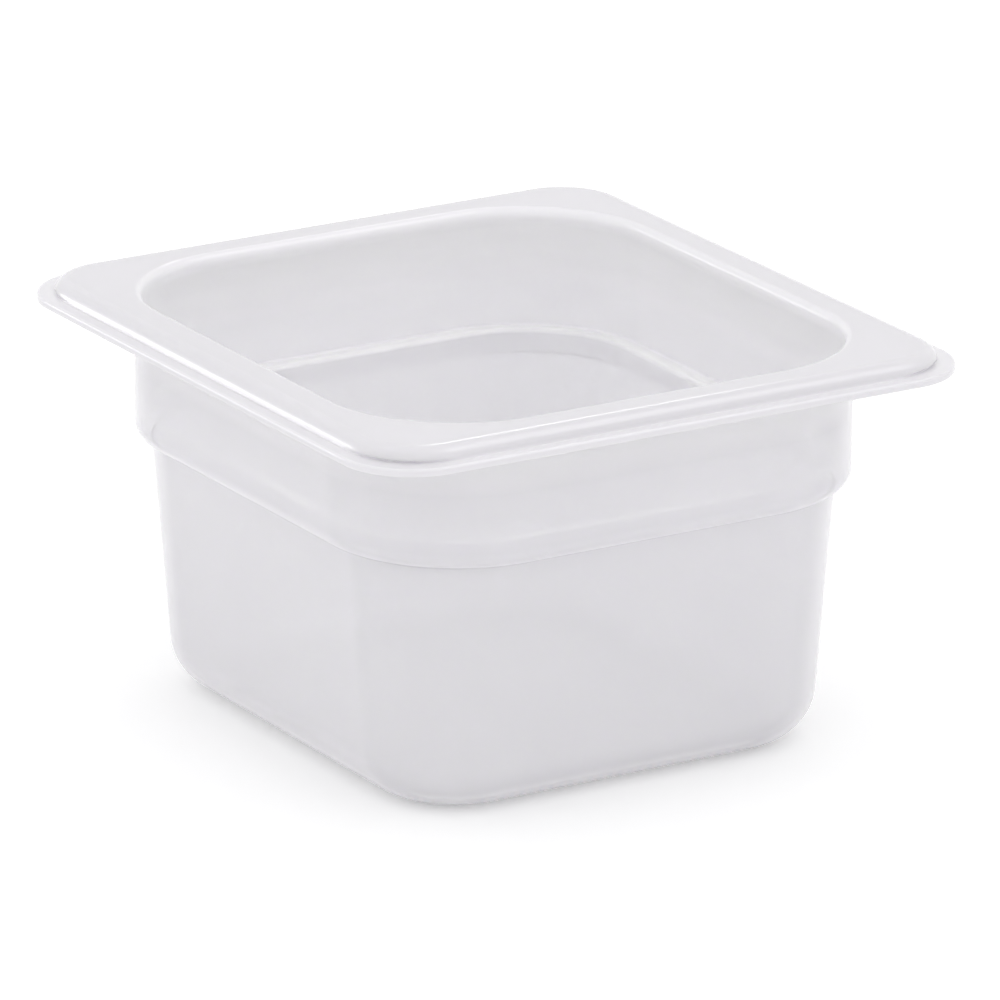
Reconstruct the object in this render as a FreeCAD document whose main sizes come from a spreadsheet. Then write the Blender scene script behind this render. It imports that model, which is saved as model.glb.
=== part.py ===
"""Sixth-size food pan: one thin-walled moulding in translucent polypropylene.

The pan is a single piece.  Its wall rises from a rounded floor as a tapered lower
wall, steps out over a stacking shoulder into an upright band, turns outward into a
raised rim and ends in a thin lip a step below the top of the rim.  The rim is open
underneath, so the whole section keeps about one wall thickness.

Frame: origin in the middle of the underside, +Z up, the long side along Y.
Lengths are millimetres and angles are degrees.
"""
import FreeCAD, Part
import math
import os

import Sketcher

# Every driving size, written once.  Insets are measured level, inward from the outer
# outline of the lip.  Drops and depths are measured down from the top of the rim.
SIZES = {
    "rim_width": 162.0,
    "rim_length": 176.0,
    "rim_corner_radius": 18.0,
    "pan_height": 99.0,
    "lip_drop": 3.5,
    "lip_thickness": 1.8,
    "rim_thickness": 2.0,
    "step_inset": 4.2,
    "step_radius": 15.6,
    "step_thickness": 2.0,
    "crown_rounding": 2.9,
    "mouth_rounding": 1.7,
    "band_inset": 12.4,
    "band_radius": 35.0,
    "band_depth": 36.0,
    "shoulder_rounding": 4.4,
    "ledge_depth": 29.7,
    "wall_inset": 16.55,
    "wall_radius": 29.1,
    "wall_thickness": 2.0,
    "wall_draft": 4.5,
    "base_rounding": 13.7,
    "floor_thickness": 2.1,
    "gate_recess_radius": 6.0,
    "gate_recess_depth": 0.4,
    "gate_stub_radius": 1.5,
}

# Levels that follow from the driving sizes.
LIP_TOP = "Sizes.pan_height - Sizes.lip_drop"
LIP_UNDERSIDE = "Sizes.pan_height - Sizes.lip_drop - Sizes.lip_thickness"
SHOULDER = "Sizes.pan_height - Sizes.band_depth"
LEDGE = "Sizes.pan_height - Sizes.ledge_depth"

# Direction of each corner from the middle, in the order the outline passes them.
CORNERS = ((1, 1), (-1, 1), (-1, -1), (1, -1))
START, END, CENTRE = 1, 2, 3
ORIGIN = (-1, 1)
ON_EDGE = 1e-3


def fill_sheet(doc):
    """Write the driving sizes into a sheet, one named row each."""
    sheet = doc.addObject("Spreadsheet::Sheet", "Sizes")
    for row, (name, value) in enumerate(SIZES.items(), start=1):
        sheet.set(f"A{row}", name)
        sheet.set(f"B{row}", str(value))
        sheet.setAlias(f"B{row}", name)
    doc.recompute()


def level_sketch(body, name, level):
    """Return an empty sketch that lies level in the body at the given height."""
    plane = next(item for item in body.Origin.OriginFeatures if item.Role == "XY_Plane")
    sketch = body.newObject("Sketcher::SketchObject", name)
    sketch.AttachmentSupport = [(plane, "")]
    sketch.MapMode = "FlatFace"
    sketch.setExpression("AttachmentOffset.Base.z", level)
    return sketch


def drive(sketch, name, expression, *constraint):
    """Add a dimension to the sketch, name it and tie its value to the expression."""
    value = sketch.evalExpression(expression)
    index = sketch.addConstraint(Sketcher.Constraint(*constraint, value))
    sketch.renameConstraint(index, name)
    sketch.setExpression(f"Constraints.{name}", expression)


def add_outline(sketch, name, inset, radius):
    """Draw a rounded rectangle about the origin, inset from the outline of the lip."""
    width = f"Sizes.rim_width - 2 * ({inset})"
    length = f"Sizes.rim_length - 2 * ({inset})"
    bend = sketch.evalExpression(radius)
    reach_x = sketch.evalExpression(width) / 2 - bend
    reach_y = sketch.evalExpression(length) / 2 - bend
    arcs = []
    for turn, (side_x, side_y) in enumerate(CORNERS):
        centre = FreeCAD.Vector(side_x * reach_x, side_y * reach_y, 0)
        circle = Part.Circle(centre, FreeCAD.Vector(0, 0, 1), bend)
        first = math.radians(90 * turn)
        arc = Part.ArcOfCircle(circle, first, first + math.radians(90))
        arcs.append(sketch.addGeometry(arc, False))
    sides = []
    for turn, arc in enumerate(arcs):
        following = arcs[(turn + 1) % len(arcs)]
        line = Part.LineSegment(sketch.getPoint(arc, END), sketch.getPoint(following, START))
        side = sketch.addGeometry(line, False)
        sketch.addConstraint(Sketcher.Constraint("Tangent", arc, END, side, START))
        sketch.addConstraint(Sketcher.Constraint("Tangent", side, END, following, START))
        sketch.addConstraint(Sketcher.Constraint("Vertical" if turn % 2 else "Horizontal", side))
        sides.append(side)
    for arc in arcs[1:]:
        sketch.addConstraint(Sketcher.Constraint("Equal", arcs[0], arc))
    sketch.addConstraint(Sketcher.Constraint("Symmetric", arcs[0], CENTRE, arcs[2], CENTRE, *ORIGIN))
    far_side, left_side, near_side, right_side = sides
    drive(sketch, f"{name}Radius", radius, "Radius", arcs[0])
    drive(sketch, f"{name}Width", width, "DistanceX", left_side, START, right_side, START)
    drive(sketch, f"{name}Length", length, "DistanceY", near_side, START, far_side, START)


def outline_at(body, name, level, inset, radius):
    """Return a level sketch that holds one rounded outline."""
    sketch = level_sketch(body, f"{name}Outline", level)
    add_outline(sketch, "Outline", inset, radius)
    return sketch


def extrude(body, kind, name, profile, length, reverse, draft):
    """Make a pad or a pocket from the profile, narrowing by the draft as it leaves it."""
    feature = body.newObject(f"PartDesign::{kind}", name)
    feature.Profile = profile
    feature.Reversed = reverse
    feature.setExpression("Length", length)
    if draft:
        feature.setExpression("TaperAngle", f"-{draft}")
    body.Document.recompute()
    return feature


def add_pad(body, name, profile, length, downward=False, draft=None):
    """Add the profile's solid, standing on the profile or hanging below it."""
    return extrude(body, "Pad", name, profile, length, downward, draft)


def cut_pocket(body, name, profile, depth, upward=False, draft=None):
    """Cut the profile out of the solid, downward unless told to cut upward."""
    before = body.Shape.Volume
    pocket = extrude(body, "Pocket", name, profile, depth, upward, draft)
    if not pocket.Shape.Volume < before:
        raise RuntimeError(f"{name} removed nothing")
    return pocket


def edges_at(feature, level):
    """Name the edges of a feature that lie level at a height."""
    names = []
    for number, edge in enumerate(feature.Shape.Edges, start=1):
        if all(abs(point.z - level) < ON_EDGE for point in edge.discretize(5)):
            names.append(f"Edge{number}")
    return names


def edges_along(feature, sketch, rise=0.0):
    """Name the edges of a feature that lie on a sketch's outline, raised by a distance."""
    outline = sketch.Shape.copy()
    outline.translate(FreeCAD.Vector(0, 0, rise))
    names = []
    for number, edge in enumerate(feature.Shape.Edges, start=1):
        samples = edge.discretize(5)
        if all(Part.Vertex(point).distToShape(outline)[0] < ON_EDGE for point in samples):
            names.append(f"Edge{number}")
    return names


def round_edges(body, name, base, edges, radius):
    """Round the named edges of the base feature."""
    if not edges:
        raise RuntimeError(f"{name} found no edges")
    fillet = body.newObject("PartDesign::Fillet", name)
    fillet.Base = (base, edges)
    fillet.setExpression("Radius", radius)
    body.Document.recompute()
    return fillet


def build_lip(body):
    """Make the thin plate whose margin is the lip."""
    outline = outline_at(body, "Lip", LIP_UNDERSIDE, "0", "Sizes.rim_corner_radius")
    add_pad(body, "LipPlate", outline, "Sizes.lip_thickness")


def build_rim(body):
    """Raise the rim above the lip, with an upright outer step and a rounded crown."""
    step = outline_at(body, "Step", LIP_TOP, "Sizes.step_inset", "Sizes.step_radius")
    rim = add_pad(body, "Rim", step, "Sizes.lip_drop")
    crown_edges = edges_along(rim, step, rim.Length.Value)
    round_edges(body, "Crown", rim, crown_edges, "Sizes.crown_rounding")


def build_band(body):
    """Add the upright band under the rim; its rounded lower edge is the shoulder."""
    outline = outline_at(body, "Band", SHOULDER, "Sizes.band_inset", "Sizes.band_radius")
    band = add_pad(body, "Band", outline, "Sizes.band_depth - Sizes.rim_thickness")
    round_edges(body, "Shoulder", band, edges_along(band, outline), "Sizes.shoulder_rounding")


def build_lower_wall(body):
    """Hang the tapered lower wall from inside the shoulder, as a solid for now."""
    outline = outline_at(body, "Wall", LEDGE, "Sizes.wall_inset", "Sizes.wall_radius")
    add_pad(body, "LowerWall", outline, LEDGE, downward=True, draft="Sizes.wall_draft")


def hollow_rim(body):
    """Open the rim from below, between its outer step and the band."""
    ring = level_sketch(body, "HollowOutline", LIP_UNDERSIDE)
    add_outline(ring, "Outer", "Sizes.step_inset + Sizes.step_thickness",
                "Sizes.step_radius - Sizes.step_thickness")
    add_outline(ring, "Inner", "Sizes.band_inset", "Sizes.band_radius")
    depth = "Sizes.lip_thickness + Sizes.lip_drop - Sizes.rim_thickness"
    cut_pocket(body, "RimHollow", ring, depth, upward=True)


def hollow_inside(body):
    """Cut the food space: the upright mouth, and below its ledge the tapered well."""
    wall = "Sizes.wall_thickness"
    mouth_outline = outline_at(body, "Mouth", "Sizes.pan_height",
                               f"Sizes.band_inset + {wall}", f"Sizes.band_radius - {wall}")
    cut_pocket(body, "Mouth", mouth_outline, "Sizes.ledge_depth")
    well_outline = outline_at(body, "Well", LEDGE,
                              f"Sizes.wall_inset + {wall}", f"Sizes.wall_radius - {wall}")
    well = cut_pocket(body, "Well", well_outline, f"{LEDGE} - Sizes.floor_thickness",
                      draft="Sizes.wall_draft")
    floor_edges = edges_at(well, well.evalExpression("Sizes.floor_thickness"))
    floor = round_edges(body, "FloorRounding", well, floor_edges, f"Sizes.base_rounding - {wall}")
    mouth_edges = edges_along(floor, mouth_outline)
    return round_edges(body, "MouthRounding", floor, mouth_edges, "Sizes.mouth_rounding")


def mark_gate(body):
    """Sink a shallow ring for the moulding gate into the middle of the underside."""
    outline = level_sketch(body, "GateOutline", "0")
    for name, radius in (("Recess", "Sizes.gate_recess_radius"), ("Stub", "Sizes.gate_stub_radius")):
        circle = Part.Circle(FreeCAD.Vector(), FreeCAD.Vector(0, 0, 1), outline.evalExpression(radius))
        ring = outline.addGeometry(circle, False)
        outline.addConstraint(Sketcher.Constraint("Coincident", ring, CENTRE, *ORIGIN))
        drive(outline, f"{name}Radius", radius, "Radius", ring)
    cut_pocket(body, "GateRecess", outline, "Sizes.gate_recess_depth", upward=True)


def build_pan(doc):
    """Build the pan as one body.

    The base is rounded after the well is cut, because until the well has its own
    rounding its square corner passes outside the rounded base.
    """
    pan = doc.addObject("PartDesign::Body", "Pan")
    pan.Label = "pan"
    build_lip(pan)
    build_rim(pan)
    build_band(pan)
    build_lower_wall(pan)
    hollow_rim(pan)
    hollowed = hollow_inside(pan)
    round_edges(pan, "BaseRounding", hollowed, edges_at(hollowed, 0.0), "Sizes.base_rounding")
    mark_gate(pan)
    return pan


def check(doc, bodies):
    """Stop if any object failed or any body is not one sound solid."""
    failed = [item.Name for item in doc.Objects if {"Invalid", "Error"} & set(item.State)]
    if failed:
        raise RuntimeError(f"failed objects: {failed}")
    for body in bodies:
        shape = body.Shape
        if shape.isNull() or not shape.isValid() or len(shape.Solids) != 1:
            raise RuntimeError(f"{body.Label} is not one valid solid")


def main():
    """Build the model and write one file for each sub-part."""
    doc = FreeCAD.newDocument("FoodPan")
    fill_sheet(doc)
    bodies = [build_pan(doc)]
    doc.recompute()
    check(doc, bodies)
    os.makedirs("parts", exist_ok=True)
    for body in bodies:
        body.Shape.exportStep(os.path.join("parts", f"{body.Label}.step"))
        box = body.Shape.optimalBoundingBox(True, False)
        print(f"{body.Label}: {box.XLength:.2f} x {box.YLength:.2f} x {box.ZLength:.2f} mm,"
              f" {body.Shape.Volume / 1000:.1f} cm3")


main()
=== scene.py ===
"""Deli food pan: one thin-walled moulding in milky, translucent polypropylene.

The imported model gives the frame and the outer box.  The visible pan is a finer skin over
the same section: one closed line of stations, from the middle of the underside out over
the shoulder, round the rim and its lip and down the inside to the middle of the floor,
swept round a rounded rectangle.

Lengths are metres.  An inset is measured level, inward from the outer edge of the lip.
"""
from __future__ import annotations

import logging
import math
from dataclasses import astuple, dataclass, field
from enum import Enum
from typing import Any, Iterable, Sequence, Union

import bpy
from mathutils import Matrix, Vector

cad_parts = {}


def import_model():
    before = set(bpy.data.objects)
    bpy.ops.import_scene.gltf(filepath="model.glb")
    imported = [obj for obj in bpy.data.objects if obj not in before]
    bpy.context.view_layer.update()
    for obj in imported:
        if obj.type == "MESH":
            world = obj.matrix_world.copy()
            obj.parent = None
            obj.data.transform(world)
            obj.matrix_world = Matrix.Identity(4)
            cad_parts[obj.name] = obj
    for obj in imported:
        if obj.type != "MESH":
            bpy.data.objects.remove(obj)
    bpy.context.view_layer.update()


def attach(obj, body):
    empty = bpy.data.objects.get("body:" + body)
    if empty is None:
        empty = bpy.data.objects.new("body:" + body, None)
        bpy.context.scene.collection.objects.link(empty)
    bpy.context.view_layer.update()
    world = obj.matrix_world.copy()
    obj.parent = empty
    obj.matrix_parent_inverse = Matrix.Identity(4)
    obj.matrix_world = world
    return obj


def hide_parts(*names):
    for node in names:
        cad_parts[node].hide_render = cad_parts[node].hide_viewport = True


LOG = logging.getLogger("food_pan")
MM = 0.001
# Names of the values that each point of the section carries to the skin.
CORNER_MARK = "corner_radius"
# Share of painted light, and of opacity, at each point of the section.
PAINTED_LIGHT_MARK = "painted_light_share"
# Share of the rim at each point, which takes painted shade and an opaque skin.
RIM_MARK = "rim_share"
Colour = tuple[float, float, float]
Input = Union["Signal", bpy.types.NodeSocket, bpy.types.ID, float, int, bool, str, Sequence[float]]


class Signal:
    """A value on its way between nodes, usable in plain arithmetic."""

    def __init__(self, graph: "Graph", socket: bpy.types.NodeSocket) -> None:
        """Wrap an output socket.

        Args:
            graph: The graph that the socket belongs to.
            socket: The output that carries the value.
        """
        self.graph = graph
        self.socket = socket

    def _maths(self, operation: str, *values: Input) -> "Signal":
        """Add one Math node.

        Args:
            operation: The operation's name.
            *values: Its operands in order.

        Returns:
            The result.
        """
        node = self.graph.add("ShaderNodeMath", {"operation": operation}, dict(enumerate(values)))
        return Signal(self.graph, node.outputs[0])

    def __add__(self, other: Input) -> "Signal":
        """Return self + other."""
        return self._maths("ADD", self, other)

    def __radd__(self, other: Input) -> "Signal":
        """Return other + self."""
        return self._maths("ADD", other, self)

    def __sub__(self, other: Input) -> "Signal":
        """Return self - other."""
        return self._maths("SUBTRACT", self, other)

    def __rsub__(self, other: Input) -> "Signal":
        """Return other - self."""
        return self._maths("SUBTRACT", other, self)

    def __mul__(self, other: Input) -> "Signal":
        """Return self * other."""
        return self._maths("MULTIPLY", self, other)

    def __rmul__(self, other: Input) -> "Signal":
        """Return other * self."""
        return self._maths("MULTIPLY", other, self)

    def __truediv__(self, other: Input) -> "Signal":
        """Return self / other."""
        return self._maths("DIVIDE", self, other)

    def __rtruediv__(self, other: Input) -> "Signal":
        """Return other / self."""
        return self._maths("DIVIDE", other, self)

    def floor(self) -> "Signal":
        """Return the whole number at or below self."""
        return self._maths("FLOOR", self)

    def circle(self, axis: "Axis") -> "Signal":
        """Return one coordinate of the point at this angle, in radians, on a unit circle."""
        return self._maths(axis.value, self)

    def sign(self) -> "Signal":
        """Return -1, 0 or 1."""
        return self._maths("SIGN", self)

    def at_least(self, other: Input) -> "Signal":
        """Return the larger of self and other."""
        return self._maths("MAXIMUM", self, other)

    def at_most(self, other: Input) -> "Signal":
        """Return the smaller of self and other."""
        return self._maths("MINIMUM", self, other)

    def ramp(self, low: float, high: float) -> "Signal":
        """Return 0 below low, 1 above high and a smooth step between.

        Args:
            low: The value at which the step starts.
            high: The value at which it ends.

        Returns:
            The step.
        """
        node = self.graph.add("ShaderNodeMapRange", {"interpolation_type": "SMOOTHSTEP"},
                              {"Value": self, "From Min": low, "From Max": high})
        return Signal(self.graph, node.outputs[0])

    def blend(self, start: Input, end: Input) -> "Signal":
        """Return the colour that lies this share of the way between two others.

        Args:
            start: The colour at 0.
            end: The colour at 1.

        Returns:
            The colour.
        """
        return self.graph.signal("ShaderNodeMix", {"data_type": "RGBA"},
                                 {0: self, 6: start, 7: end}, 2)


class Graph:
    """A node tree under construction."""

    def __init__(self, tree: bpy.types.NodeTree) -> None:
        """Start from an empty tree.

        Args:
            tree: The tree to fill; what it holds is cleared.
        """
        self.tree = tree
        tree.nodes.clear()

    def add(self, kind: str, settings: dict[str, Any] | None = None,
            values: dict[str | int, Input] | None = None) -> bpy.types.Node:
        """Add a node.

        Args:
            kind: The node's type.
            settings: Its own properties, set before its sockets are touched.
            values: What each input holds or is linked to, by name or by number.

        Returns:
            The new node.
        """
        node = self.tree.nodes.new(kind)
        for name, value in (settings or {}).items():
            setattr(node, name, value)
        for name, value in (values or {}).items():
            socket = node.inputs[name]
            source = value.socket if isinstance(value, Signal) else value
            if isinstance(source, bpy.types.NodeSocket):
                self.tree.links.new(source, socket)
            else:
                socket.default_value = source
        return node

    def signal(self, kind: str, settings: dict[str, Any] | None = None,
               values: dict[str | int, Input] | None = None, output: str | int = 0) -> Signal:
        """Add a node and return one of its outputs.

        Args:
            kind: The node's type.
            settings: Its own properties.
            values: What its inputs hold or are linked to.
            output: The output to return.

        Returns:
            That output.
        """
        return Signal(self, self.add(kind, settings, values).outputs[output])


class Axis(Enum):
    """A level axis of the pan, with the wave that traces a circle along it."""

    WIDTH = "COSINE"
    LENGTH = "SINE"


@dataclass(frozen=True)
class Bend:
    """One bend of the pan's section.

    Attributes:
        inset: Distance inward from the edge of the lip.
        height: Height above the underside.
        corner: Corner radius of the level outline through the bend.
        rounding: Radius that rounds the bend off.
        steps: Number of facets across that rounding.
        mass: Share of painted light, and of opacity, at each end of the rounding,
        from 0 to 1: a painted highlight on the ledge, elsewhere paint that lightens shade.
        rim: How far each end belongs to the rim, which takes painted shade and an opaque
        skin, from 0 to 1.
    """

    inset: float
    height: float
    corner: float
    rounding: float
    steps: int
    mass: tuple[float, float] = (0.0, 0.0)
    rim: tuple[float, float] = (0.0, 0.0)


@dataclass(frozen=True)
class Station:
    """One level line round the pan.

    Attributes:
        half_width: Half the outline's size across the pan.
        half_length: Half its size along the pan.
        corner: Its corner radius.
        height: Height above the underside.
        mass: Share of painted light, and of opacity, here, from 0 to 1.
        rim: How far it belongs to the rim, which takes painted shade, from 0 to 1.
    """

    half_width: float
    half_length: float
    corner: float
    height: float
    mass: float = 0.0
    rim: float = 0.0


@dataclass(frozen=True)
class Pattern:
    """A soft noise pattern in the piece's own space.

    Attributes:
        scale: How many blots it has to a metre.
        detail: How many finer layers it has.
        roughness: How strong each finer layer is beside the one before it.
    """

    scale: float
    detail: float
    roughness: float

    def drawn(self, graph: Graph, place: Signal) -> Signal:
        """Add the pattern to a graph.

        Args:
            graph: The graph.
            place: The point that is shaded.

        Returns:
            The pattern's value, which lies about 0.5.
        """
        return graph.signal("ShaderNodeTexNoise", None, {
            "Vector": place, "Scale": self.scale, "Detail": self.detail,
            "Roughness": self.roughness})


@dataclass(frozen=True)
class MilkyPolypropylene:
    """Natural polypropylene: glossy skin over a cloudy body that lets light through.

    Attributes:
        body: Colour of the cloudy body where it is palest.
        deep: Its colour where it is darkest.
        rim: Colour of the rim and lip: painted shade, darker than the body to offset the
        full light that they take from above.
        painted_light_colour: Near-white colour of the painted light: a painted highlight on
        the ledge, and paint that lightens the shade in the step's foot, on the crown and
        under the rim.
        cloud: Pattern of the clouds in the body.
        cloud_span: Values of that pattern at which the body is darkest and palest.
        ripple: Pattern of the skin's slow waves.
        grain: Pattern of its fine grain.
        grain_share: Depth of the grain beside that of the waves.
        relief: Depth of the waves.
        relief_strength: How strongly the relief turns the light, from 0 to 1.
        clear: Share of light that goes straight through one skin of a wall.
        clear_turn: How far a skin faces the eye, from 0 to 1, when it is fully clear.
        junction: Heights between which the band grows into the rim, and over which
            painted light fades in to lighten the shade under the lip.
        junction_painted_light: Share of that painted light, and of opacity, at the upper one.
        hollow: Heights between which the hollow rim turns from clear to opaque.
        roughness: Mean roughness of the skin.
        roughness_swing: How much the clouds change it.
        refraction: Refractive index.
        spread: How far light wanders inside the plastic.
        spread_hues: That reach for red, green and blue, as shares of the spread.
    """

    body: Colour = (0.807, 0.797, 0.825)
    deep: Colour = (0.802, 0.792, 0.821)
    rim: Colour = (0.667, 0.658, 0.679)
    painted_light_colour: Colour = (0.985, 0.980, 0.990)
    cloud: Pattern = Pattern(scale=26.0, detail=3.0, roughness=0.55)
    cloud_span: tuple[float, float] = (0.35, 0.65)
    ripple: Pattern = Pattern(scale=60.0, detail=2.0, roughness=0.5)
    grain: Pattern = Pattern(scale=2400.0, detail=2.0, roughness=0.6)
    grain_share: float = 0.02
    relief: float = 0.4 * MM
    relief_strength: float = 0.12
    clear: float = 0.46
    clear_turn: float = 0.6
    junction: tuple[float, float] = (79.0 * MM, 90.0 * MM)
    junction_painted_light: float = 0.42
    hollow: tuple[float, float] = (94.5 * MM, 97.5 * MM)
    roughness: float = 0.15
    roughness_swing: float = 0.08
    refraction: float = 1.49
    spread: float = 4.0 * MM
    spread_hues: tuple[float, float, float] = (1.0, 0.97, 1.05)

    def build(self) -> bpy.types.Material:
        """Make the material.

        Returns:
            The material, with its patterns in object space.
        """
        material = bpy.data.materials.new("milky_polypropylene")
        material.use_nodes = True
        graph = Graph(material.node_tree)
        mass = graph.signal("ShaderNodeAttribute", {"attribute_name": PAINTED_LIGHT_MARK}, None, "Fac")
        rim = graph.signal("ShaderNodeAttribute", {"attribute_name": RIM_MARK}, None, "Fac")
        place = graph.signal("ShaderNodeTexCoord", None, None, "Object")
        height = graph.signal("ShaderNodeSeparateXYZ", None, {0: place}, "Z")
        cloud = self.cloud.drawn(graph, place)
        # Painted light: near-white laid on the ledge as a painted highlight, and in the step's
        # foot, on the crown and under the lip to lighten their shade; it also makes the skin
        # opaque.
        mass = mass.at_least(height.ramp(*self.junction) * self.junction_painted_light * (1.0 - rim))
        tint = cloud.ramp(*self.cloud_span).blend((*self.deep, 1.0), (*self.body, 1.0))
        # Painted shade: the rim and lip take a darker colour that offsets the light from above.
        tint = rim.blend(tint, (*self.rim, 1.0))
        tint = mass.blend(tint, (*self.painted_light_colour, 1.0))
        roughness = self.roughness + (cloud - 0.5) * self.roughness_swing
        relief = self.ripple.drawn(graph, place) + self.grain.drawn(graph, place) * self.grain_share
        bump = graph.signal("ShaderNodeBump", None, {
            "Strength": self.relief_strength, "Distance": self.relief, "Height": relief})
        facing = graph.signal("ShaderNodeLayerWeight", None, None, "Facing")
        clear = (self.clear * (1.0 - facing).ramp(0.0, self.clear_turn) * (1.0 - mass)
                 * (1.0 - rim.at_least(height.ramp(*self.hollow))))
        skin = graph.add("ShaderNodeBsdfPrincipled", None, {
            "Base Color": tint, "Roughness": roughness, "IOR": self.refraction, "Normal": bump,
            "Alpha": 1.0 - clear, "Subsurface Weight": 1.0,
            "Subsurface Radius": self.spread_hues, "Subsurface Scale": self.spread})
        graph.add("ShaderNodeOutputMaterial", None, {"Surface": skin.outputs[0]})
        material.surface_render_method = "BLENDED"
        return material


@dataclass
class FoodPan:
    """The pan: a thin skin swept round a rounded rectangle.

    A rounding is the radius across the section, and a corner the radius of an outline
    seen from above.  A painted light share says how much near-white painted light, and
    opacity, a part of the skin takes: a painted highlight on the ledge, elsewhere paint
    that lightens shade.

    Attributes:
        name: Name of the finished piece.
        node: Solid that the piece stands for.
        width: Size across, over the lip.
        length: Size along, over the lip.
        height: Height of the rim above the underside.
        lip_corner: Corner of the lip's edge.
        lip_drop: How far the lip lies below the rim.
        lip_thickness: Thickness of the lip.
        lip_root_rounding: Rounding where the lip's underside meets the hollow.
        lip_under_rounding: Rounding of the lip's lower edge.
        lip_top_rounding: Rounding of its upper edge.
        rim_thickness: Thickness of the rim over the hollow.
        step_inset: Inset of the step at the rim's height.
        step_corner: Corner of the step there.
        foot_inset: Inset of the step's foot on the lip.
        foot_corner: Corner of the foot.
        foot_rounding: Rounding of the foot.
        foot_painted_light: Share of painted light, and of opacity, in the foot, which
        lightens its shade.
        crown_rounding: Rounding from the step onto the rim.
        crown_painted_light: Share of painted light, and of opacity, at the lower end of
        the crown, which lightens its shade.
        hollow_roof_rounding: Rounding of the hollow's roof at the step.
        hollow_wall_rounding: Rounding of that roof at the band.
        wall: Thickness of the walls.
        mouth_rounding: Rounding of the mouth's edge.
        band_inset: Inset of the band.
        band_corner: Corner of the band.
        band_painted_light: Share of painted light, and of opacity, on the band's outer
        skin, which lightens the shade under the rim.
        shoulder_height: Height of the shoulder's underside.
        shoulder_rounding: Rounding of the shoulder.
        waist_rounding: Rounding where the lower wall meets the shoulder.
        ledge_height: Height of the ledge inside.
        ledge_foot_rounding: Rounding where the band meets the ledge.
        ledge_foot_painted_light: Share of painted light, and of opacity, at the ledge's
        end of that rounding, part of the painted highlight on the ledge.
        ledge_edge_rounding: Rounding of the ledge's edge into the well.
        wall_inset: Inset of the lower wall at the ledge's height.
        wall_corner: Corner of the lower wall there.
        draft: Angle by which the lower wall leans in.
        base_rounding: Rounding of the lower wall into the underside.
        floor_thickness: Thickness of the floor.
        gate_radius: Radius of the recess round the injection point.
        gate_depth: Depth of the recess.
        gate_stub: Radius of the stub left in its middle.
        gate_rounding: Size of the soft edges of both.
        middle_radius: Radius of the floor's innermost ring.
        corner_steps: Number of facets round each corner.
        side_steps: Number of facets along each side.
        guard_reach: How close to a bend the flat beside it has its first station.
        guard_share: The most of a flat's length that this may take.
        least_flat: Length below which a flat has no such stations.
        long_flat: Length above which a flat has stations on its way too.
        weld_distance: Distance below which the sweep's points are joined.
        finish: What the pan is made of.
    """

    name: str = "moulded_pan"
    node: str = "pan"
    width: float = 162.0 * MM
    length: float = 176.0 * MM
    height: float = 99.0 * MM
    lip_corner: float = 18.0 * MM
    lip_drop: float = 3.5 * MM
    lip_thickness: float = 1.8 * MM
    lip_root_rounding: float = 0.3 * MM
    lip_under_rounding: float = 0.15 * MM
    lip_top_rounding: float = 0.65 * MM
    rim_thickness: float = 2.0 * MM
    step_inset: float = 4.2 * MM
    step_corner: float = 15.6 * MM
    foot_inset: float = 3.45 * MM
    foot_corner: float = 18.9 * MM
    foot_rounding: float = 0.3 * MM
    foot_painted_light: float = 0.34
    crown_rounding: float = 3.5 * MM
    crown_painted_light: float = 0.17
    hollow_roof_rounding: float = 1.0 * MM
    hollow_wall_rounding: float = 0.8 * MM
    wall: float = 2.0 * MM
    mouth_rounding: float = 1.7 * MM
    band_inset: float = 12.4 * MM
    band_corner: float = 35.0 * MM
    band_painted_light: float = 0.05
    shoulder_height: float = 63.0 * MM
    shoulder_rounding: float = 4.4 * MM
    waist_rounding: float = 0.22 * MM
    ledge_height: float = 69.3 * MM
    ledge_foot_rounding: float = 0.6 * MM
    ledge_foot_painted_light: float = 0.6
    ledge_edge_rounding: float = 1.2 * MM
    wall_inset: float = 16.55 * MM
    wall_corner: float = 29.1 * MM
    draft: float = math.radians(4.5)
    base_rounding: float = 13.7 * MM
    floor_thickness: float = 2.1 * MM
    gate_radius: float = 6.0 * MM
    gate_depth: float = 0.4 * MM
    gate_stub: float = 1.5 * MM
    gate_rounding: float = 0.12 * MM
    middle_radius: float = 8.0 * MM
    corner_steps: int = 28
    side_steps: int = 10
    guard_reach: float = 0.35 * MM
    guard_share: float = 0.2
    least_flat: float = 0.05 * MM
    long_flat: float = 12.0 * MM
    weld_distance: float = 0.001 * MM
    finish: MilkyPolypropylene = field(default_factory=MilkyPolypropylene)

    def _tapered(self, start: float, height: float) -> float:
        """Return the inset of a drafted wall at a height, given its inset at the ledge."""
        return start + math.tan(self.draft) * (self.ledge_height - height)

    def _outside(self) -> list[Bend]:
        """Return the bends from the flat underside up to the middle of the rim."""
        lip_top = self.height - self.lip_drop
        lip_under = lip_top - self.lip_thickness
        hollow_top = self.height - self.rim_thickness
        hollow_inset = self.step_inset + self.wall
        hollow_corner = self.step_corner - self.wall
        base = self._tapered(self.wall_inset, 0.0)
        waist = self._tapered(self.wall_inset, self.shoulder_height)
        turn = self.wall_inset + self.wall_corner
        # Painted light that lightens the shade on the band's outer skin, in the step's foot and on
        # the crown; it also makes the skin there opaque.
        band = (self.band_painted_light, self.band_painted_light)
        foot = (self.foot_painted_light, self.foot_painted_light)
        crown = (self.crown_painted_light, 0.0)
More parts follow.
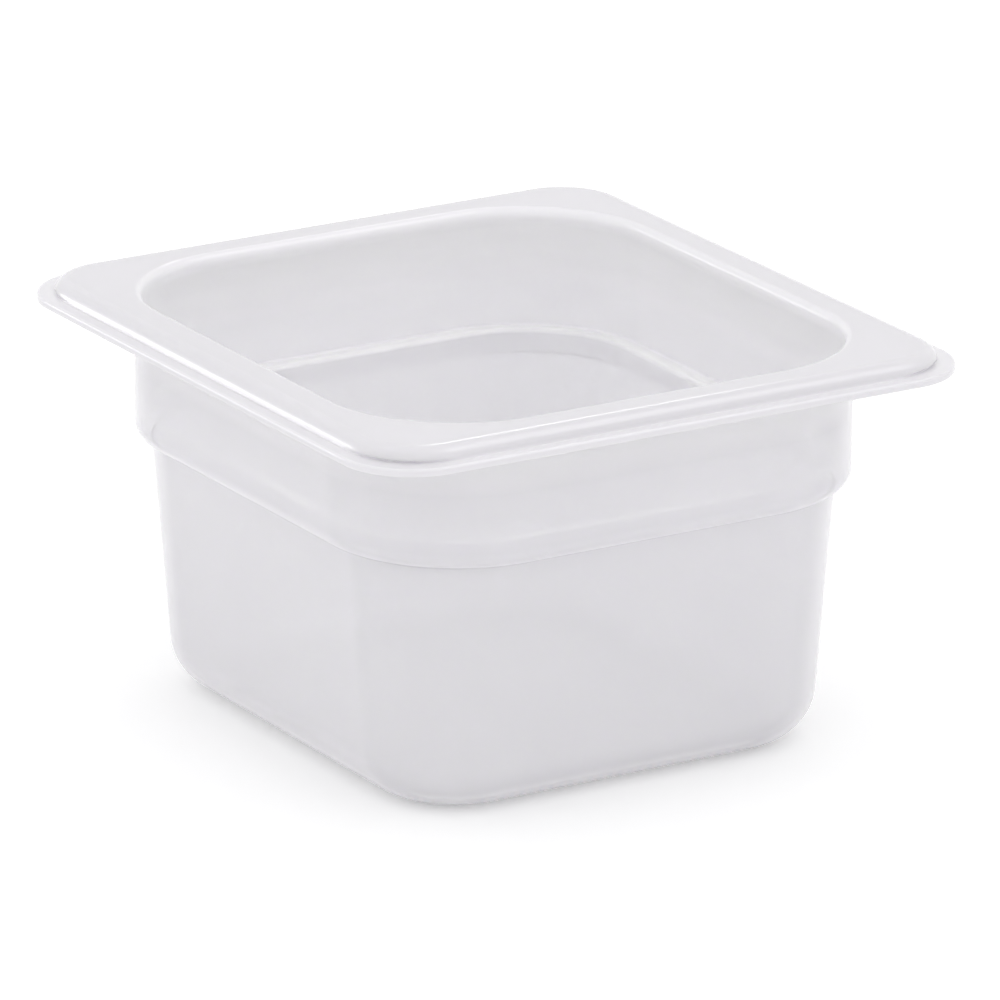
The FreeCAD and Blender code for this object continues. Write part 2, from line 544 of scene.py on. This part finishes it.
        # Full share of the rim: its painted shade and opaque skin.
        whole = (1.0, 1.0)
        return [
            Bend(base, 0.0, turn - base, self.base_rounding, steps=20),
            Bend(waist, self.shoulder_height, turn - waist, self.waist_rounding, steps=4),
            Bend(self.band_inset, self.shoulder_height, self.band_corner,
                 self.shoulder_rounding, steps=12, mass=band),
            Bend(self.band_inset, hollow_top, self.band_corner,
                 self.hollow_wall_rounding, steps=5, mass=band),
            Bend(hollow_inset, hollow_top, hollow_corner, self.hollow_roof_rounding, steps=5),
            Bend(hollow_inset, lip_under, hollow_corner, self.lip_root_rounding, steps=3,
                 rim=whole),
            Bend(0.0, lip_under, self.lip_corner, self.lip_under_rounding, steps=3, rim=whole),
            Bend(0.0, lip_top, self.lip_corner, self.lip_top_rounding, steps=6, rim=whole),
            Bend(self.foot_inset, lip_top, self.foot_corner, self.foot_rounding, steps=4,
                 mass=foot, rim=whole),
            Bend(self.step_inset, self.height, self.step_corner, self.crown_rounding, steps=12,
                 mass=crown, rim=whole),
        ]

    def _inside(self) -> list[Bend]:
        """Return the bends from the mouth down to the flat floor."""
        mouth_inset = self.band_inset + self.wall
        mouth_corner = self.band_corner - self.wall
        well_inset = self.wall_inset + self.wall
        bottom = self._tapered(well_inset, self.floor_thickness)
        turn = self.wall_inset + self.wall_corner
        return [
            # The rim's painted shade fades out round the mouth.
            Bend(mouth_inset, self.height, mouth_corner, self.mouth_rounding, steps=8,
                 rim=(1.0, 0.0)),
            # Painted highlight on the ledge: painted light rises across the ledge's foot, is full
            # on its flat and fades down its edge.
            Bend(mouth_inset, self.ledge_height, mouth_corner, self.ledge_foot_rounding, steps=5,
                 mass=(0.0, self.ledge_foot_painted_light)),
            Bend(well_inset, self.ledge_height, turn - well_inset, self.ledge_edge_rounding,
                 steps=12, mass=(1.0, 0.0)),
            Bend(bottom, self.floor_thickness, turn - bottom, self.base_rounding - self.wall,
                 steps=18),
        ]

    @staticmethod
    def _disc(radius: float, height: float) -> Station:
        """Return a round station about the middle."""
        return Station(radius, radius, radius, height)

    def _rounded(self, bend: Bend, before: Vector, after: Vector) -> list[Station]:
        """Return the stations across one rounded bend.

        Args:
            bend: The bend.
            before: Where the section comes from, as inset and height.
            after: Where it goes.

        Returns:
            Stations from one tangent point to the other.  Their outlines share the
            corner centres of the bend, as a ball rolled along it would leave them.
        """
        point = Vector((bend.inset, bend.height))
        back = (before - point).normalized()
        ahead = (after - point).normalized()
        opening = math.acos(max(-1.0, min(1.0, back.dot(ahead))))
        reach = bend.rounding / math.tan(opening / 2)
        middle = point + (back + ahead).normalized() * (bend.rounding / math.sin(opening / 2))
        first = point + back * reach - middle
        last = point + ahead * reach - middle
        sweep = math.pi - opening
        stations = []
        for step in range(bend.steps + 1):
            part = step / bend.steps
            weight_first = math.sin((1 - part) * sweep) / math.sin(sweep)
            weight_last = math.sin(part * sweep) / math.sin(sweep)
            spot = middle + first * weight_first + last * weight_last
            corner = bend.corner + bend.inset - spot.x
            marks = (low + (high - low) * part for low, high in (bend.mass, bend.rim))
            stations.append(Station(self.width / 2 - spot.x, self.length / 2 - spot.x,
                                    corner, spot.y, *marks))
        return stations

    @staticmethod
    def _between(start: Station, end: Station, share: float) -> Station:
        """Return the station a share of the way between two others."""
        return Station(*(a + (b - a) * share for a, b in zip(astuple(start), astuple(end))))

    def _supported(self, runs: Iterable[list[Station]]) -> list[Station]:
        """Join runs of stations and keep the flats between them flat.

        Args:
            runs: The stations of each bend, in order.

        Returns:
            One list, in which every flat has a station close to each of its ends, so
            that smooth shading turns only within the bends.
        """
        joined: list[Station] = []
        for run in runs:
            if joined:
                gap = math.hypot(run[0].half_width - joined[-1].half_width,
                                 run[0].height - joined[-1].height)
                if gap > self.least_flat:
                    guard = min(self.guard_reach / gap, self.guard_share)
                    quarters = [0.25, 0.5, 0.75] if gap > self.long_flat else []
                    joined += [self._between(joined[-1], run[0], share)
                               for share in (guard, *quarters, 1 - guard)]
            joined += run
        return joined

    def _gate_edge(self, radius: float, outward: int) -> list[Station]:
        """Return the softened side of the gate's recess or of the stub in it.

        Args:
            radius: The side's radius.
            outward: 1 where the underside goes on outward from the side, -1 inward.

        Returns:
            Stations from the underside up to the recess's roof.
        """
        soft = self.gate_rounding
        # Distances outward and up from the side's foot, as shares of the soft edge.
        foot = [(2.0, 0.0), (0.5, 0.4), (0.0, 1.3)]
        rise = [self._disc(radius + soft * out * outward, soft * up) for out, up in foot]
        return rise + [self._disc(radius, self.gate_depth - soft),
                       self._disc(radius - soft * outward, self.gate_depth)]

    def stations(self) -> list[Station]:
        """Return every station, from the middle of the underside to that of the floor."""
        bends = self._outside() + self._inside()
        spots = [Vector((bend.inset, bend.height)) for bend in bends]
        inward = Vector((self.middle_radius, 0.0))
        spots = [spots[0] + inward, *spots, spots[-1] + inward]
        runs = [self._rounded(bend, spots[i], spots[i + 2]) for i, bend in enumerate(bends)]
        gate = [self._disc(0.0, 0.0), *self._gate_edge(self.gate_stub, -1),
                *reversed(self._gate_edge(self.gate_radius, 1))]
        centre = [self._disc(self.middle_radius, self.floor_thickness),
                  self._disc(0.0, self.floor_thickness)]
        return self._supported([gate, *runs, centre])

    def _profile(self) -> bpy.types.Object:
        """Return the section as loose points that carry their corner radius and marks."""
        stations = self.stations()
        mesh = bpy.data.meshes.new(f"{self.name}_section")
        mesh.from_pydata([(s.half_width, s.half_length, s.height) for s in stations], [], [])
        for name, values in ((CORNER_MARK, [s.corner for s in stations]),
                             (PAINTED_LIGHT_MARK, [s.mass for s in stations]),
                             (RIM_MARK, [s.rim for s in stations])):
            mesh.attributes.new(name, "FLOAT", "POINT").data.foreach_set("value", values)
        section = bpy.data.objects.new(f"{self.name}_section", mesh)
        bpy.context.scene.collection.objects.link(section)
        return section

    def _sweep_tree(self) -> bpy.types.NodeTree:
        """Return the node tree that sweeps the section round a rounded rectangle."""
        tree = bpy.data.node_groups.new("sweep_round_pan", "GeometryNodeTree")
        for label, kind in (("Section", "NodeSocketGeometry"), ("Corner Steps", "NodeSocketInt"),
                            ("Side Steps", "NodeSocketInt"), ("Stations", "NodeSocketInt"),
                            ("Weld Distance", "NodeSocketFloat"), ("Finish", "NodeSocketMaterial")):
            tree.interface.new_socket(name=label, in_out="INPUT", socket_type=kind)
        tree.interface.new_socket(name="Pan", in_out="OUTPUT", socket_type="NodeSocketGeometry")
        graph = Graph(tree)
        given = graph.add("NodeGroupInput").outputs
        corner_steps = Signal(graph, given["Corner Steps"])
        side_steps = Signal(graph, given["Side Steps"])
        quarter = corner_steps + side_steps
        around = quarter * 4.0 + 1.0
        grid = graph.signal("GeometryNodeMeshGrid", None, {
            "Vertices X": given["Stations"], "Vertices Y": around})
        index = graph.signal("GeometryNodeInputIndex")
        station = (index / around).floor()
        ring = index - station * around
        turn = (ring / quarter).floor()
        step = ring - turn * quarter
        arc = (step / corner_steps).at_most(1.0)
        slide = ((step - corner_steps) / side_steps).at_least(0.0)
        slide = 0.5 - (slide * math.pi).circle(Axis.WIDTH) * 0.5
        angle = (turn + arc) * (math.pi / 2)

        here = graph.signal("GeometryNodeInputPosition")
        sizes = graph.signal("GeometryNodeSampleIndex", {"data_type": "FLOAT_VECTOR"}, {
            "Geometry": given["Section"], "Value": here, "Index": station})
        split = graph.add("ShaderNodeSeparateXYZ", None, {0: sizes})

        def carried(name: str) -> Signal:
            """Return a value that the section's points carry, for the swept point."""
            stored = graph.signal("GeometryNodeInputNamedAttribute", {"data_type": "FLOAT"},
                                  {"Name": name})
            return graph.signal("GeometryNodeSampleIndex", {"data_type": "FLOAT"}, {
                "Geometry": given["Section"], "Value": stored, "Index": station})

        corner = carried(CORNER_MARK)

        def along(half: Signal, axis: Axis) -> Signal:
            """Return one level coordinate of the swept point.

            Args:
                half: Half the outline's size along this axis.
                axis: The axis.

            Returns:
                The coordinate.
            """
            near = (turn * (math.pi / 2) + math.pi / 4).circle(axis).sign()
            far = (turn * (math.pi / 2) + math.pi * 0.75).circle(axis).sign()
            side = near + (far - near) * slide
            return side * (half - corner) + corner * angle.circle(axis)

        spot = graph.signal("ShaderNodeCombineXYZ", None, {
            "X": along(Signal(graph, split.outputs[0]), Axis.WIDTH),
            "Y": along(Signal(graph, split.outputs[1]), Axis.LENGTH),
            "Z": split.outputs[2]})
        for mark in (PAINTED_LIGHT_MARK, RIM_MARK):
            grid = graph.signal("GeometryNodeStoreNamedAttribute", {
                "data_type": "FLOAT", "domain": "POINT"}, {
                "Geometry": grid, "Name": mark, "Value": carried(mark)})
        swept = graph.signal("GeometryNodeSetPosition", None, {"Geometry": grid, "Position": spot})
        welded = graph.signal("GeometryNodeMergeByDistance", None, {
            "Geometry": swept, "Distance": given["Weld Distance"]})
        smooth = graph.signal("GeometryNodeSetShadeSmooth", None, {"Geometry": welded})
        whole = graph.signal("GeometryNodeRealizeInstances", None, {"Geometry": smooth})
        dressed = graph.signal("GeometryNodeSetMaterial", None, {
            "Geometry": whole, "Material": given["Finish"]})
        graph.add("NodeGroupOutput", None, {"Pan": dressed})
        return tree

    def _swept(self, finish: bpy.types.Material) -> bpy.types.Mesh:
        """Sweep the section and return the result as a plain mesh.

        Args:
            finish: The material that it is dressed in.

        Returns:
            The closed skin of the pan.
        """
        section = self._profile()
        tree = self._sweep_tree()
        modifier = section.modifiers.new("sweep", "NODES")
        modifier.node_group = tree
        sizes = {"Corner Steps": self.corner_steps, "Side Steps": self.side_steps,
                 "Stations": len(section.data.vertices), "Weld Distance": self.weld_distance,
                 "Finish": finish}
        for item in tree.interface.items_tree:
            if item.item_type == "SOCKET" and item.name in sizes:
                modifier[item.identifier] = sizes[item.name]
        evaluated = section.evaluated_get(bpy.context.evaluated_depsgraph_get())
        mesh = bpy.data.meshes.new_from_object(evaluated)
        section.modifiers.remove(modifier)
        bpy.data.objects.remove(section)
        return mesh

    def build(self) -> bpy.types.Object:
        """Build the pan and give it its place in the frame.

        Returns:
            The finished piece.
        """
        finish = self.finish.build()
        mesh = self._swept(finish)
        mesh.name = self.name
        mesh.materials.clear()
        mesh.materials.append(finish)
        pan = bpy.data.objects.new(self.name, mesh)
        bpy.context.scene.collection.objects.link(pan)
        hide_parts(self.node)
        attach(pan, "root")
        return pan


@dataclass(frozen=True)
class WhiteGround:
    """Plain white floor that still takes the pan's soft shadow.

    Attributes:
        paint: Lightness of the floor.
        lift: Glow added where it is looked at, mirrored or seen through the plastic.
    """

    paint: float = 0.93
    lift: float = 0.17

    def build(self) -> bpy.types.Material:
        """Make the floor's material.

        Returns:
            Matt white with that glow.
        """
        material = bpy.data.materials.new("white_ground")
        material.use_nodes = True
        graph = Graph(material.node_tree)
        ray = graph.add("ShaderNodeLightPath").outputs
        seen = (Signal(graph, ray["Is Camera Ray"]) + Signal(graph, ray["Is Glossy Ray"])
                + Signal(graph, ray["Is Transmission Ray"])).at_most(1.0)
        diffuse = graph.add("ShaderNodeBsdfDiffuse", None, {"Color": (self.paint,) * 3 + (1.0,)})
        glow = graph.add("ShaderNodeEmission", None, {"Strength": seen * self.lift})
        both = graph.add("ShaderNodeAddShader", None, {0: diffuse.outputs[0], 1: glow.outputs[0]})
        graph.add("ShaderNodeOutputMaterial", None, {"Surface": both.outputs[0]})
        return material


@dataclass(frozen=True)
class Lamp:
    """One rectangular soft light.

    Attributes:
        name: Its name.
        place: Where it hangs.
        aim: What it points at.
        size: Its width and height.
        power: Its power in watts.
        fills: Whether it lights matt surfaces, or only glints on glossy ones.
    """

    name: str
    place: Vector
    aim: Vector
    size: tuple[float, float]
    power: float
    fills: bool = True

    def hang(self) -> bpy.types.Object:
        """Hang the lamp in the scene and return it."""
        data = bpy.data.lights.new(self.name, "AREA")
        data.shape = "RECTANGLE"
        data.size, data.size_y = self.size
        data.energy = self.power
        lamp = bpy.data.objects.new(self.name, data)
        lamp.location = self.place
        lamp.visible_diffuse = self.fills
        lamp.visible_camera = False
        lamp.rotation_euler = (self.aim - self.place).to_track_quat("-Z", "Y").to_euler()
        bpy.context.scene.collection.objects.link(lamp)
        return lamp


@dataclass
class Studio:
    """Floor, surroundings, lamps and camera.

    Attributes:
        ambient: Strength of the even light from all round.
        floor_reach: Side of the square floor.
        middle: What the overhead lamp points at.
        near_rim: What the glinting lamps point at.
        aim: What the camera looks at before it is offset.
        yaw: Level direction of the view, from the pan's length towards its width.
        pitch: How far the view looks down.
        roll: How far the camera is tilted sideways.
        distance: Distance from the camera to the aim.
        lens: Focal length in millimetres.
        sensor: Width of the sensor in millimetres.
        offset: How far right and up of the aim the camera turns.
        clip: Nearest and farthest distance that it sees.
    """

    ambient: float = 1.0
    floor_reach: float = 6.0
    middle: Vector = field(default_factory=lambda: Vector((0.0, 0.0, 0.06)))
    near_rim: Vector = field(default_factory=lambda: Vector((-0.077, 0.0, 0.097)))
    aim: Vector = field(default_factory=lambda: Vector((0.0, 0.0, 0.05)))
    yaw: float = math.radians(31.04)
    pitch: float = math.radians(18.26)
    roll: float = math.radians(0.113)
    distance: float = 2.322
    lens: float = 353.1
    sensor: float = 36.0
    offset: tuple[float, float] = (0.0022, 0.0020)
    clip: tuple[float, float] = (0.05, 50.0)

    def lay_floor(self) -> None:
        """Lay the floor under the pan."""
        half = self.floor_reach / 2
        mesh = bpy.data.meshes.new("floor")
        mesh.from_pydata([(-half, -half, 0), (half, -half, 0), (half, half, 0), (-half, half, 0)],
                         [], [(0, 1, 2, 3)])
        mesh.materials.append(WhiteGround().build())
        floor = bpy.data.objects.new("floor", mesh)
        bpy.context.scene.collection.objects.link(floor)

    def surround(self) -> None:
        """Surround the scene with even light that looks white."""
        world = bpy.data.worlds.new("studio_white")
        bpy.context.scene.world = world
        world.use_nodes = True
        graph = Graph(world.node_tree)
        light = graph.add("ShaderNodeBackground", None, {
            "Color": (1.0, 1.0, 1.0, 1.0), "Strength": self.ambient})
        graph.add("ShaderNodeOutputWorld", None, {"Surface": light.outputs[0]})

    def hang_lamps(self) -> None:
        """Hang the overhead lamp and those that only glint on the rim."""
        Lamp("overhead", Vector((0.0, 0.1, 1.6)), self.middle, size=(1.6, 1.6), power=2.5).hang()
        for name, place, size, power in (
            ("low_strip", (-0.546, 0.773, 0.105), (0.25, 0.19), 0.72),
            ("upper_strip", (-0.576, 0.749, 0.288), (0.25, 0.16), 0.12),
            ("back_panel", (0.49, 0.66, 0.68), (0.16, 0.16), 0.32),
            ("front_softbox", (0.49, -0.45, 0.85), (0.5, 0.5), 1.6),
        ):
            Lamp(name, Vector(place), self.near_rim, size, power, fills=False).hang()

    def place_camera(self) -> None:
        """Place the camera and make it the scene's own."""
        ahead = Vector((math.sin(self.yaw) * math.cos(self.pitch),
                        math.cos(self.yaw) * math.cos(self.pitch), -math.sin(self.pitch)))
        place = self.aim - ahead * self.distance
        right = ahead.cross(Vector((0.0, 0.0, 1.0))).normalized()
        up = right.cross(ahead)
        target = self.aim + right * self.offset[0] + up * self.offset[1]
        turn = (target - place).to_track_quat("-Z", "Y").to_matrix()
        data = bpy.data.cameras.new("view")
        data.lens = self.lens
        data.sensor_width = self.sensor
        data.clip_start, data.clip_end = self.clip
        camera = bpy.data.objects.new("view", data)
        camera.matrix_world = (Matrix.Translation(place)
                               @ (turn @ Matrix.Rotation(self.roll, 3, "Z")).to_4x4())
        bpy.context.scene.collection.objects.link(camera)
        bpy.context.scene.camera = camera

    def build(self) -> None:
        """Set the whole studio up."""
        self.place_camera()
        self.lay_floor()
        self.surround()
        self.hang_lamps()
        bpy.context.scene.view_settings.view_transform = "Standard"


def main() -> None:
    """Build the scene in order and log the pan's stations and faces."""
    logging.basicConfig(level=logging.INFO, format="%(name)s: %(message)s")
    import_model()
    Studio().build()
    model = FoodPan()
    pan = model.build()
    LOG.info("%s: %d stations, %d faces", pan.name, len(model.stations()), len(pan.data.polygons))


if __name__ == "__main__":
    main()
